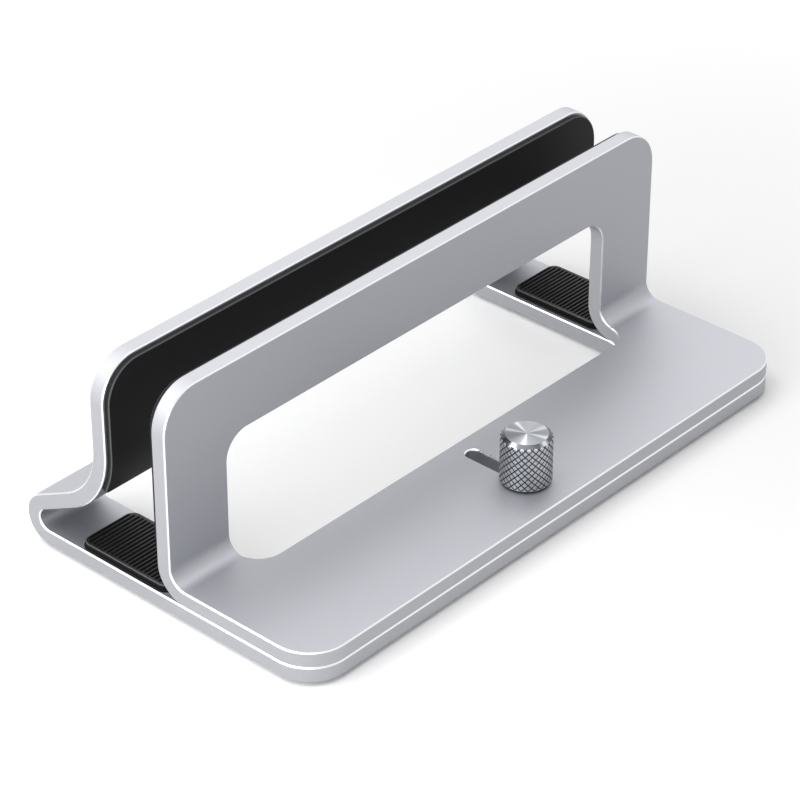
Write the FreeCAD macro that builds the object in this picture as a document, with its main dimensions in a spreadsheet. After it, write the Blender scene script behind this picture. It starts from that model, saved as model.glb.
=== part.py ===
import FreeCAD, Part
import math
import os

import Sketcher

# Vertical laptop stand in millimetres: two folded plates, one sliding on the other.
# +X runs along the walls, -Y is the side of the clamp knob, +Z is up. The origin is the
# middle of the footprint, on the surface that the feet stand on.
sizes = {
    "overall_length": 200.0,
    "wall_height": 66.9,
    "sheet_thickness": 4.75,
    "edge_chamfer": 0.35,
    "corner_radius": 12.0,
    # Rear bracket: base, U-bend, leg that leans forward and up, wall.
    "rear_reach": 27.8,
    "fold_radius": 3.2,
    "leg_angle": 27.0,
    "wall_bend_radius": 21.0,
    # Front bracket: wall, bend, flange on the base.
    "slot_gap": 17.9,
    "front_bend_radius": 5.0,
    # Windows in both brackets. The base's starts a little in front of the flange's.
    "window_to_bend": 5.85,
    "base_window_lead": 0.2,
    "strip_width": 22.3,
    "window_top": 44.7,
    "window_radius": 7.5,
    # Clamp: knob, washer, stud, nut, and the slot that the stud runs in.
    "knob_setback": 13.9,
    "knob_diameter": 14.7,
    "knob_height": 14.8,
    "knob_top_diameter": 12.1,
    "knob_top_chamfer": 1.1,
    "knob_foot_chamfer": 0.4,
    "washer_diameter": 13.7,
    "washer_thickness": 0.5,
    "stud_diameter": 4.0,
    "stud_depth": 10.0,
    "stud_end_gap": 0.3,
    "stud_end_chamfer": 0.4,
    "thread_clearance": 0.05,
    "slot_clearance": 0.2,
    "slot_end_margin": 4.95,
    "slide_travel": 19.0,
    "nut_diameter": 6.0,
    "nut_head_diameter": 8.4,
    "nut_head_height": 1.4,
    # Dowels under the flange, running in blind grooves in the base.
    "pin_spacing": 120.0,
    "pin_diameter": 4.0,
    "pin_seat_depth": 3.0,
    "pin_reach": 2.8,
    "pin_tip_chamfer": 0.4,
    "groove_clearance": 0.05,
    "groove_floor_gap": 0.3,
    "groove_end_margin": 7.0,
    # Soft pads on the walls.
    "pad_thickness": 1.5,
    "pad_border": 0.9,
    "pad_window_margin": 2.2,
    "pad_end_radius": 2.0,
    "pad_edge_chamfer": 0.3,
    "pad_bend_angle": 30.0,
    "front_pad_bottom": 20.0,
    # Ribbed rubber pads that carry the laptop.
    "rest_length": 33.3,
    "rest_width": 20.2,
    "rest_height": 2.0,
    "rest_foot_height": 0.7,
    "rest_step": 0.45,
    "rest_corner_radius": 3.3,
    "rest_top_chamfer": 0.3,
    "rest_to_bend": 7.45,
    "rest_side_margin": 0.6,
    "rib_border": 1.9,
    "rib_pitch": 1.4,
    "rib_gap": 0.7,
    "rib_depth": 0.5,
    # Feet.
    "foot_thickness": 1.2,
    "foot_diameter": 12.0,
    "foot_chamfer": 0.3,
    "foot_setback": 9.5,
}

# Places worked out from the sizes above. Y and Z are in the frame of the whole stand.
places = {
    "half_length": "=Sizes.overall_length / 2",
    "stud_radius": "=Sizes.stud_diameter / 2",
    "slot_radius": "=stud_radius + Sizes.slot_clearance",
    "flange_bar": "=Sizes.knob_setback + Sizes.slide_travel + slot_radius + Sizes.slot_end_margin",
    "front_reach": "=flange_bar + Sizes.window_to_bend + Sizes.front_bend_radius",
    "walls_and_gap": "=2 * Sizes.sheet_thickness + Sizes.slot_gap",
    "overall_depth": "=front_reach + walls_and_gap + Sizes.rear_reach",
    "front_edge": "=-overall_depth / 2",
    "base_bottom": "=Sizes.foot_thickness",
    "base_top": "=base_bottom + Sizes.sheet_thickness",
    "flange_top": "=base_top + Sizes.sheet_thickness",
    "wall_top": "=base_bottom + Sizes.wall_height",
    "window_half": "=half_length - Sizes.strip_width",
    "window_ceiling": "=base_bottom + Sizes.window_top",
    "beyond_rear": "=overall_depth",
    # Rear bracket: fold centre, wall faces, centre of the bend between leg and wall.
    "fold_outer": "=Sizes.fold_radius + Sizes.sheet_thickness",
    "fold_y": "=overall_depth / 2 - fold_outer",
    "fold_z": "=base_bottom + fold_outer",
    "rear_wall_back": "=overall_depth / 2 - Sizes.rear_reach",
    "rear_wall_front": "=rear_wall_back - Sizes.sheet_thickness",
    "wall_bend_outer": "=Sizes.wall_bend_radius + Sizes.sheet_thickness",
    "wall_bend_y": "=rear_wall_back + Sizes.wall_bend_radius",
    "radii_sum": "=fold_outer + Sizes.wall_bend_radius",
    "leg_length": "=(fold_y + radii_sum * sin(Sizes.leg_angle) - wall_bend_y) / cos(Sizes.leg_angle)",
    "wall_bend_z": "=fold_z + radii_sum * cos(Sizes.leg_angle) + leg_length * sin(Sizes.leg_angle)",
    "rear_plan_cut": "=fold_z + Sizes.sheet_thickness",
    # Front bracket.
    "front_wall_back": "=rear_wall_front - Sizes.slot_gap",
    "front_wall_front": "=front_wall_back - Sizes.sheet_thickness",
    "front_bend_outer": "=Sizes.front_bend_radius + Sizes.sheet_thickness",
    "front_bend_y": "=front_wall_front - Sizes.front_bend_radius",
    "front_bend_z": "=flange_top + Sizes.front_bend_radius",
    "flange_window_front": "=front_edge + flange_bar",
    "base_window_front": "=flange_window_front - Sizes.base_window_lead",
    "front_plan_cut": "=front_bend_z + Sizes.sheet_thickness",
    # Clamp.
    "knob_y": "=front_edge + Sizes.knob_setback",
    "slot_rear": "=knob_y + Sizes.slide_travel",
    "nut_bore_radius": "=stud_radius + Sizes.thread_clearance",
    "nut_radius": "=Sizes.nut_diameter / 2",
    "nut_head_radius": "=Sizes.nut_head_diameter / 2",
    "washer_radius": "=Sizes.washer_diameter / 2",
    "knob_bottom": "=flange_top + Sizes.washer_thickness",
    "knob_radius": "=Sizes.knob_diameter / 2",
    "knob_top_radius": "=Sizes.knob_top_diameter / 2",
    "knob_foot_radius": "=knob_radius - Sizes.knob_foot_chamfer",
    "knob_shoulder": "=Sizes.knob_height - Sizes.knob_top_chamfer",
    "stud_bottom": "=base_bottom + Sizes.stud_end_gap",
    "stud_length": "=knob_bottom + Sizes.stud_depth - stud_bottom",
    "stud_tip_radius": "=stud_radius - Sizes.stud_end_chamfer",
    "stud_upper_chamfer": "=stud_length - Sizes.stud_end_chamfer",
    # Guide pins.
    "pin_x": "=Sizes.pin_spacing / 2",
    "pin_radius": "=Sizes.pin_diameter / 2",
    "groove_radius": "=pin_radius + Sizes.groove_clearance",
    "groove_front": "=front_edge + Sizes.groove_end_margin + groove_radius",
    "pin_y": "=groove_front + Sizes.slide_travel",
    "pin_length": "=Sizes.pin_seat_depth + Sizes.pin_reach",
    "pin_tip_radius": "=pin_radius - Sizes.pin_tip_chamfer",
    "pin_bottom": "=base_top - Sizes.pin_reach",
    "groove_depth": "=Sizes.pin_reach + Sizes.groove_floor_gap",
    # Wall pads.
    "pad_half": "=half_length - Sizes.pad_border",
    "pad_top": "=wall_top - Sizes.pad_border",
    "pad_width": "=2 * pad_half",
    "pad_corner_radius": "=Sizes.corner_radius - Sizes.pad_border",
    "pad_window_half": "=window_half + Sizes.pad_window_margin",
    "pad_window_ceiling": "=window_ceiling + Sizes.pad_window_margin",
    "pad_window_radius": "=Sizes.window_radius + Sizes.pad_window_margin",
    "rear_pad_face": "=rear_wall_front - Sizes.pad_thickness",
    "rear_pad_bend": "=wall_bend_outer + Sizes.pad_thickness",
    "front_pad_face": "=front_wall_back + Sizes.pad_thickness",
    "front_pad_low": "=base_bottom + Sizes.front_pad_bottom",
    # Rest pads, each about its own middle.
    "rest_x": "=half_length - Sizes.rest_side_margin - Sizes.rest_width / 2",
    "rest_y": "=front_bend_y + Sizes.rest_to_bend + Sizes.rest_length / 2",
    "rest_half_width": "=Sizes.rest_width / 2",
    "rest_half_length": "=Sizes.rest_length / 2",
    "rest_top_half_width": "=rest_half_width - Sizes.rest_step",
    "rest_top_half_length": "=rest_half_length - Sizes.rest_step",
    "rest_top_corner": "=Sizes.rest_corner_radius - Sizes.rest_step",
    "rib_half_run": "=rest_half_width - Sizes.rib_border",
    "rib_room": "=Sizes.rest_length - 2 * Sizes.rib_border - Sizes.rib_gap",
    "rib_count": "=floor(rib_room / Sizes.rib_pitch) + 1",
    "first_gap_low": "=-(rib_count - 1) * Sizes.rib_pitch / 2 - Sizes.rib_gap / 2",
    "first_gap_high": "=first_gap_low + Sizes.rib_gap",
    # Feet, under the four corners of the base.
    "foot_radius": "=Sizes.foot_diameter / 2",
    "foot_x": "=half_length - Sizes.strip_width / 2",
    "foot_front_y": "=front_edge + Sizes.foot_setback",
    "foot_rear_y": "=fold_y - Sizes.foot_setback",
}

document = FreeCAD.newDocument("laptop_stand")


def fill_sheet(name, contents):
    sheet = document.addObject("Spreadsheet::Sheet", name)
    for row, (alias, content) in enumerate(contents.items(), start=1):
        sheet.set(f"A{row}", alias)
        sheet.set(f"B{row}", str(content))
        sheet.setAlias(f"B{row}", alias)
    document.recompute()
    return {alias: float(sheet.get(alias)) for alias in contents}


size = fill_sheet("Sizes", sizes)
place = fill_sheet("Places", places)

x_axis = FreeCAD.Vector(1, 0, 0)
y_axis = FreeCAD.Vector(0, 1, 0)
z_axis = FreeCAD.Vector(0, 0, 1)
tolerance = 0.01
smooth_cosine = 0.7


def value_of(cell):
    # A cell is written "Sizes.name" or "Places.name", with a minus for its negative.
    sheet_name, alias = cell.lstrip("-").split(".")
    number = size[alias] if sheet_name == "Sizes" else place[alias]
    return -number if cell.startswith("-") else number


def flat(u, v):
    return FreeCAD.Vector(u, v, 0)


def new_body(name):
    body = document.addObject("PartDesign::Body", name)
    body.Label = name
    return body


def new_sketch(body, role, name, offset=None):
    sketch = body.newObject("Sketcher::SketchObject", name)
    plane = [item for item in body.Origin.OriginFeatures if item.Role == role][0]
    sketch.AttachmentSupport = [(plane, "")]
    sketch.MapMode = "FlatFace"
    if offset:
        sketch.setExpression("AttachmentOffset.Base.z", offset)
    return sketch


def bind(sketch, name, cell, *constraint):
    index = sketch.addConstraint(Sketcher.Constraint(*constraint, value_of(cell)))
    sketch.renameConstraint(index, name)
    sketch.setExpression("Constraints." + name, cell)


def join(sketch, kind, first, first_end, second, second_end):
    sketch.addConstraint(Sketcher.Constraint(kind, first, first_end, second, second_end))


def arc(centre, radius, start, end):
    circle = Part.Circle(centre, z_axis, radius)
    return Part.ArcOfCircle(circle, math.radians(start), math.radians(end))


def add_lines(sketch, points):
    # One line from each point to the next.
    return [
        sketch.addGeometry(Part.LineSegment(first, second), False)
        for first, second in zip(points, points[1:])
    ]


def polygon(sketch, corners):
    # A closed outline whose corners are pairs of cells, or 0 on an axis.
    numbers = [flat(*[0 if cell == 0 else value_of(cell) for cell in corner]) for corner in corners]
    lines = add_lines(sketch, numbers + numbers[:1])
    for index, line in enumerate(lines):
        join(sketch, "Coincident", lines[index - 1], 2, line, 1)
    for line, (across, up) in zip(lines, corners):
        if across == 0:
            sketch.addConstraint(Sketcher.Constraint("PointOnObject", line, 1, -2))
        else:
            bind(sketch, f"across_{line}", across, "DistanceX", -1, 1, line, 1)
        if up == 0:
            sketch.addConstraint(Sketcher.Constraint("PointOnObject", line, 1, -1))
        else:
            bind(sketch, f"up_{line}", up, "DistanceY", -1, 1, line, 1)


def rectangle(sketch, left, right, low, high):
    polygon(sketch, [(left, low), (right, low), (right, high), (left, high)])


def rounded_rectangle(sketch, half_width, half_length, radius):
    # About the sketch's origin, with the same radius at each corner.
    w = value_of(half_width)
    l = value_of(half_length)
    r = value_of(radius)
    sides = add_lines(sketch, [flat(-w + r, -l), flat(w - r, -l)])
    sides += add_lines(sketch, [flat(w, -l + r), flat(w, l - r)])
    sides += add_lines(sketch, [flat(w - r, l), flat(-w + r, l)])
    sides += add_lines(sketch, [flat(-w, l - r), flat(-w, -l + r)])
    middles = [flat(w - r, -l + r), flat(w - r, l - r), flat(-w + r, l - r), flat(-w + r, -l + r)]
    corners = []
    for quarter, middle in enumerate(middles):
        start = -90 + 90 * quarter
        corners.append(sketch.addGeometry(arc(middle, r, start, start + 90), False))
    for quarter, corner in enumerate(corners):
        join(sketch, "Tangent", sides[quarter], 2, corner, 1)
        join(sketch, "Tangent", corner, 2, sides[(quarter + 1) % 4], 1)
    for corner in corners[1:]:
        sketch.addConstraint(Sketcher.Constraint("Equal", corners[0], corner))
    low, right, high, left = sides
    for level in (low, high):
        sketch.addConstraint(Sketcher.Constraint("Horizontal", level))
    for upright in (right, left):
        sketch.addConstraint(Sketcher.Constraint("Vertical", upright))
    bind(sketch, "corner_radius", radius, "Radius", corners[0])
    bind(sketch, "low", "-" + half_length, "DistanceY", -1, 1, low, 1)
    bind(sketch, "high", half_length, "DistanceY", -1, 1, high, 1)
    bind(sketch, "right", half_width, "DistanceX", -1, 1, right, 1)
    bind(sketch, "left", "-" + half_width, "DistanceX", -1, 1, left, 1)


def circle(sketch, across, up, radius):
    centre = flat(0 if across == 0 else value_of(across), value_of(up))
    index = sketch.addGeometry(Part.Circle(centre, z_axis, value_of(radius)), False)
    bind(sketch, f"radius_{index}", radius, "Radius", index)
    bind(sketch, f"up_{index}", up, "DistanceY", -1, 1, index, 3)
    if across == 0:
        sketch.addConstraint(Sketcher.Constraint("PointOnObject", index, 3, -2))
    else:
        bind(sketch, f"across_{index}", across, "DistanceX", -1, 1, index, 3)


def obround(sketch, across, low, high, radius):
    # A slot along the sketch's vertical, with round ends about the low and high centres.
    x = 0 if across == 0 else value_of(across)
    r = value_of(radius)
    y_low = value_of(low)
    y_high = value_of(high)
    upper = sketch.addGeometry(arc(flat(x, y_high), r, 0, 180), False)
    left = sketch.addGeometry(Part.LineSegment(flat(x - r, y_high), flat(x - r, y_low)), False)
    lower = sketch.addGeometry(arc(flat(x, y_low), r, 180, 360), False)
    right = sketch.addGeometry(Part.LineSegment(flat(x + r, y_low), flat(x + r, y_high)), False)
    join(sketch, "Tangent", upper, 2, left, 1)
    join(sketch, "Tangent", left, 2, lower, 1)
    join(sketch, "Tangent", lower, 2, right, 1)
    join(sketch, "Tangent", right, 2, upper, 1)
    sketch.addConstraint(Sketcher.Constraint("Equal", upper, lower))
    bind(sketch, f"radius_{upper}", radius, "Radius", upper)
    for end, cell in ((upper, high), (lower, low)):
        bind(sketch, f"centre_{end}", cell, "DistanceY", -1, 1, end, 3)
        if across == 0:
            sketch.addConstraint(Sketcher.Constraint("PointOnObject", end, 3, -2))
        else:
            bind(sketch, f"across_{end}", across, "DistanceX", -1, 1, end, 3)


def pad(body, sketch, length, both_ways=False):
    feature = body.newObject("PartDesign::Pad", sketch.Name + "_pad")
    feature.Profile = sketch
    feature.SideType = "Symmetric" if both_ways else "One side"
    feature.setExpression("Length", length)
    document.recompute()
    return feature


def pocket(body, sketch, length=None, upward=False):
    # Without a length the cut runs through all, both ways.
    before = body.Shape.Volume
    feature = body.newObject("PartDesign::Pocket", sketch.Name + "_cut")
    feature.Profile = sketch
    feature.Reversed = upward
    if length:
        feature.setExpression("Length", length)
    else:
        feature.Type = "ThroughAll"
        feature.SideType = "Symmetric"
    document.recompute()
    if not body.Shape.Volume < before - tolerance:
        raise RuntimeError(sketch.Name + " cuts nothing")
    return feature


def revolve(body, sketch):
    feature = body.newObject("PartDesign::Revolution", sketch.Name + "_turned")
    feature.Profile = sketch
    feature.ReferenceAxis = (sketch, ["V_Axis"])
    document.recompute()
    return feature


def dress(body, kind, name, edges, size_property, cell):
    base = body.Tip
    feature = body.newObject("PartDesign::" + kind, name)
    feature.Base = (base, edges)
    feature.setExpression(size_property, cell)
    document.recompute()
    return feature


def straight_edges(shape, direction, is_wanted):
    names = []
    for index, edge in enumerate(shape.Edges, start=1):
        if edge.Curve.TypeId != "Part::GeomLine":
            continue
        if abs(edge.tangentAt(edge.FirstParameter).dot(direction)) < 1 - tolerance:
            continue
        if is_wanted(edge.CenterOfMass):
            names.append(f"Edge{index}")
    return names


def sharp_edges(shape, is_wanted=None):
    # Edges where two faces meet at an angle, not where one runs smoothly into the next.
    names = []
    for index, edge in enumerate(shape.Edges, start=1):
        middle = edge.valueAt((edge.FirstParameter + edge.LastParameter) / 2)
        if is_wanted and not is_wanted(middle):
            continue
        normals = []
        for face in shape.ancestorsOfType(edge, Part.Face):
            u, v = face.Surface.parameter(middle)
            normals.append(face.normalAt(u, v))
        if len(normals) == 2 and abs(normals[0].dot(normals[1])) < smooth_cosine:
            names.append(f"Edge{index}")
    return names


def near(first, second):
    return abs(first - second) < tolerance


def upper_corners(shape, across, up):
    return straight_edges(
        shape, y_axis, lambda point: near(abs(point.x), across) and near(point.z, up)
    )


def front_corners(shape, across, front):
    return straight_edges(
        shape, z_axis, lambda point: near(abs(point.x), across) and near(point.y, front)
    )


def round_sheet(body, name, window_front):
    # Outer corners of the flat sheet and the wall, then the corners of the window.
    half = place["half_length"]
    outer = front_corners(body.Shape, half, place["front_edge"])
    outer += upper_corners(body.Shape, half, place["wall_top"])
    dress(body, "Fillet", name + "_outer_corners", outer, "Radius", "Sizes.corner_radius")
    half = place["window_half"]
    inner = front_corners(body.Shape, half, window_front)
    inner += upper_corners(body.Shape, half, place["window_ceiling"])
    dress(body, "Fillet", name + "_window_corners", inner, "Radius", "Sizes.window_radius")


def cut_window(body, name, window_front, plan_top, elevation_low):
    # One window that runs from the flat sheet through the bend and up the wall.
    plan = new_sketch(body, "XY_Plane", name + "_window_plan")
    rectangle(plan, "-Places.window_half", "Places.window_half", window_front, "Places.beyond_rear")
    pocket(body, plan, plan_top, upward=True)
    elevation = new_sketch(body, "XZ_Plane", name + "_window_elevation")
    rectangle(
        elevation,
        "-Places.window_half",
        "Places.window_half",
        elevation_low,
        "Places.window_ceiling",
    )
    pocket(body, elevation)


def chamfer_sheet(body, name):
    edges = sharp_edges(body.Shape)
    dress(body, "Chamfer", name + "_edge_chamfer", edges, "Size", "Sizes.edge_chamfer")


def draw_rear_profile(sketch):
    # The folded sheet seen along X: base, U-bend, leg, bend, wall.
    turn = 90 - size["leg_angle"]
    lean = math.radians(size["leg_angle"])
    slope = flat(-math.cos(lean), math.sin(lean))
    normal = flat(slope.y, -slope.x)
    fold = flat(place["fold_y"], place["fold_z"])
    bend = flat(place["wall_bend_y"], place["wall_bend_z"])
    outer_leg_start = fold + normal * place["fold_outer"]
    outer_leg_end = outer_leg_start + slope * place["leg_length"]
    inner_leg_start = bend - normal * place["wall_bend_outer"]
    inner_leg_end = fold + normal * size["fold_radius"]
    bottom = place["base_bottom"]
    top = place["base_top"]
    front = place["front_edge"]
    back_face = place["rear_wall_back"]
    front_face = place["rear_wall_front"]
    wall_top = place["wall_top"]

    def line(first, second):
        return sketch.addGeometry(Part.LineSegment(first, second), False)

    underside = line(flat(front, bottom), flat(fold.x, bottom))
    fold_outer = sketch.addGeometry(arc(fold, place["fold_outer"], -90, turn), False)
    leg_outer = line(outer_leg_start, outer_leg_end)
    bend_back = sketch.addGeometry(arc(bend, size["wall_bend_radius"], 180, 180 + turn), False)
    wall_back = line(flat(back_face, bend.y), flat(back_face, wall_top))
    wall_end = line(flat(back_face, wall_top), flat(front_face, wall_top))
    wall_front = line(flat(front_face, wall_top), flat(front_face, bend.y))
    bend_front = sketch.addGeometry(arc(bend, place["wall_bend_outer"], 180, 180 + turn), False)
    leg_inner = line(inner_leg_start, inner_leg_end)
    fold_inner = sketch.addGeometry(arc(fold, size["fold_radius"], -90, turn), False)
    upper_face = line(flat(fold.x, top), flat(front, top))
    front_face_line = line(flat(front, top), flat(front, bottom))

    join(sketch, "Tangent", underside, 2, fold_outer, 1)
    join(sketch, "Tangent", fold_outer, 2, leg_outer, 1)
    join(sketch, "Tangent", leg_outer, 2, bend_back, 2)
    join(sketch, "Tangent", bend_back, 1, wall_back, 1)
    join(sketch, "Coincident", wall_back, 2, wall_end, 1)
    join(sketch, "Coincident", wall_end, 2, wall_front, 1)
    join(sketch, "Tangent", wall_front, 2, bend_front, 1)
    join(sketch, "Tangent", bend_front, 2, leg_inner, 1)
    join(sketch, "Tangent", leg_inner, 2, fold_inner, 2)
    join(sketch, "Tangent", fold_inner, 1, upper_face, 1)
    join(sketch, "Coincident", upper_face, 2, front_face_line, 1)
    join(sketch, "Coincident", front_face_line, 2, underside, 1)
    join(sketch, "Coincident", fold_outer, 3, fold_inner, 3)
    join(sketch, "Coincident", bend_back, 3, bend_front, 3)
    for level in (underside, wall_end, upper_face):
        sketch.addConstraint(Sketcher.Constraint("Horizontal", level))
    for upright in (wall_back, wall_front, front_face_line):
        sketch.addConstraint(Sketcher.Constraint("Vertical", upright))
    bind(sketch, "fold_outer", "Places.fold_outer", "Radius", fold_outer)
    bind(sketch, "fold_inner", "Sizes.fold_radius", "Radius", fold_inner)
    bind(sketch, "bend_back", "Sizes.wall_bend_radius", "Radius", bend_back)
    bind(sketch, "bend_front", "Places.wall_bend_outer", "Radius", bend_front)
    bind(sketch, "front_edge", "Places.front_edge", "DistanceX", -1, 1, underside, 1)
    bind(sketch, "underside", "Places.base_bottom", "DistanceY", -1, 1, underside, 1)
    bind(sketch, "fold_y", "Places.fold_y", "DistanceX", -1, 1, fold_outer, 3)
    bind(sketch, "wall_back", "Places.rear_wall_back", "DistanceX", -1, 1, wall_back, 1)
    bind(sketch, "wall_top", "Places.wall_top", "DistanceY", -1, 1, wall_back, 2)
    bind(sketch, "bend_z", "Places.wall_bend_z", "DistanceY", -1, 1, bend_back, 3)


def make_rear_bracket():
    body = new_body("rear_bracket")
    profile = new_sketch(body, "YZ_Plane", "rear_bracket_profile")
    draw_rear_profile(profile)
    pad(body, profile, "Sizes.overall_length", both_ways=True)
    cut_window(body, "rear", "Places.base_window_front", "Places.rear_plan_cut", "Places.fold_z")
    round_sheet(body, "rear", place["base_window_front"])
    chamfer_sheet(body, "rear")
    nut_bore = new_sketch(body, "XY_Plane", "nut_bore", "Places.base_bottom")
    circle(nut_bore, 0, "Places.knob_y", "Places.nut_radius")
    pocket(body, nut_bore, "Sizes.sheet_thickness", upward=True)
    nut_seat = new_sketch(body, "XY_Plane", "nut_seat", "Places.base_bottom")
    circle(nut_seat, 0, "Places.knob_y", "Places.nut_head_radius")
    pocket(body, nut_seat, "Sizes.nut_head_height", upward=True)
    grooves = new_sketch(body, "XY_Plane", "guide_grooves", "Places.base_top")
    for across in ("-Places.pin_x", "Places.pin_x"):
        obround(grooves, across, "Places.groove_front", "Places.pin_y", "Places.groove_radius")
    pocket(body, grooves, "Places.groove_depth")


def draw_front_profile(sketch):
    # The folded sheet seen along X: flange, bend, wall.
    bend = flat(place["front_bend_y"], place["front_bend_z"])
    front = place["front_edge"]
    low = place["base_top"]
    high = place["flange_top"]
    wall_top = place["wall_top"]
    wall_front = place["front_wall_front"]
    wall_back = place["front_wall_back"]

    def line(first, second):
        return sketch.addGeometry(Part.LineSegment(first, second), False)

    underside = line(flat(front, low), flat(bend.x, low))
    outer = sketch.addGeometry(arc(bend, place["front_bend_outer"], -90, 0), False)
    back = line(flat(wall_back, bend.y), flat(wall_back, wall_top))
    end = line(flat(wall_back, wall_top), flat(wall_front, wall_top))
    face = line(flat(wall_front, wall_top), flat(wall_front, bend.y))
    inner = sketch.addGeometry(arc(bend, size["front_bend_radius"], -90, 0), False)
    upper = line(flat(bend.x, high), flat(front, high))
    edge = line(flat(front, high), flat(front, low))

    join(sketch, "Tangent", underside, 2, outer, 1)
    join(sketch, "Tangent", outer, 2, back, 1)
    join(sketch, "Coincident", back, 2, end, 1)
    join(sketch, "Coincident", end, 2, face, 1)
    join(sketch, "Tangent", face, 2, inner, 2)
    join(sketch, "Tangent", inner, 1, upper, 1)
    join(sketch, "Coincident", upper, 2, edge, 1)
    join(sketch, "Coincident", edge, 2, underside, 1)
    join(sketch, "Coincident", outer, 3, inner, 3)
    for level in (underside, end, upper):
        sketch.addConstraint(Sketcher.Constraint("Horizontal", level))
    for upright in (back, face, edge):
        sketch.addConstraint(Sketcher.Constraint("Vertical", upright))
    bind(sketch, "bend_outer", "Places.front_bend_outer", "Radius", outer)
    bind(sketch, "bend_inner", "Sizes.front_bend_radius", "Radius", inner)
    bind(sketch, "front_edge", "Places.front_edge", "DistanceX", -1, 1, underside, 1)
    bind(sketch, "underside", "Places.base_top", "DistanceY", -1, 1, underside, 1)
    bind(sketch, "wall_back", "Places.front_wall_back", "DistanceX", -1, 1, back, 1)
    bind(sketch, "wall_top", "Places.wall_top", "DistanceY", -1, 1, back, 2)


def make_front_bracket():
    body = new_body("front_bracket")
    profile = new_sketch(body, "YZ_Plane", "front_bracket_profile")
    draw_front_profile(profile)
    pad(body, profile, "Sizes.overall_length", both_ways=True)
    cut_window(
        body, "front", "Places.flange_window_front", "Places.front_plan_cut", "Places.front_bend_z"
    )
    round_sheet(body, "front", place["flange_window_front"])
    slot = new_sketch(body, "XY_Plane", "stud_slot")
    obround(slot, 0, "Places.knob_y", "Places.slot_rear", "Places.slot_radius")
    pocket(body, slot)
    chamfer_sheet(body, "front")
    pin_holes = new_sketch(body, "XY_Plane", "pin_holes", "Places.base_top")
    for across in ("-Places.pin_x", "Places.pin_x"):
        circle(pin_holes, across, "Places.pin_y", "Places.pin_radius")
    pocket(body, pin_holes, "Sizes.pin_seat_depth", upward=True)


def cut_pad_window(body, name, low):
    # The open middle of a wall pad, which leaves an upside-down U.
    window = new_sketch(body, "XZ_Plane", name + "_window")
    rectangle(
        window, "-Places.pad_window_half", "Places.pad_window_half", low, "Places.pad_window_ceiling"
    )
    pocket(body, window)


def round_pad(body, name):
    # The top corners follow the wall and the window's corners follow the wall's window.
    outer = upper_corners(body.Shape, place["pad_half"], place["pad_top"])
    dress(body, "Fillet", name + "_top_corners", outer, "Radius", "Places.pad_corner_radius")
    inner = upper_corners(body.Shape, place["pad_window_half"], place["pad_window_ceiling"])
    dress(body, "Fillet", name + "_window_corners", inner, "Radius", "Places.pad_window_radius")


def round_pad_feet(body, name, direction, below):
    # The lower corners of the U's two legs: edges that run through the pad's thickness.
    sides = (place["pad_half"], place["pad_window_half"])
    feet = straight_edges(
        body.Shape,
        direction,
        lambda point: point.z < below and any(near(abs(point.x), side) for side in sides),
    )
    dress(body, "Fillet", name + "_feet", feet, "Radius", "Sizes.pad_end_radius")


def soften_rim(body, name, is_on_face):
    # A small chamfer all round the side that the laptop touches.
    edges = sharp_edges(body.Shape, is_on_face)
    dress(body, "Chamfer", name + "_rim", edges, "Size", "Sizes.pad_edge_chamfer")


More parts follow.
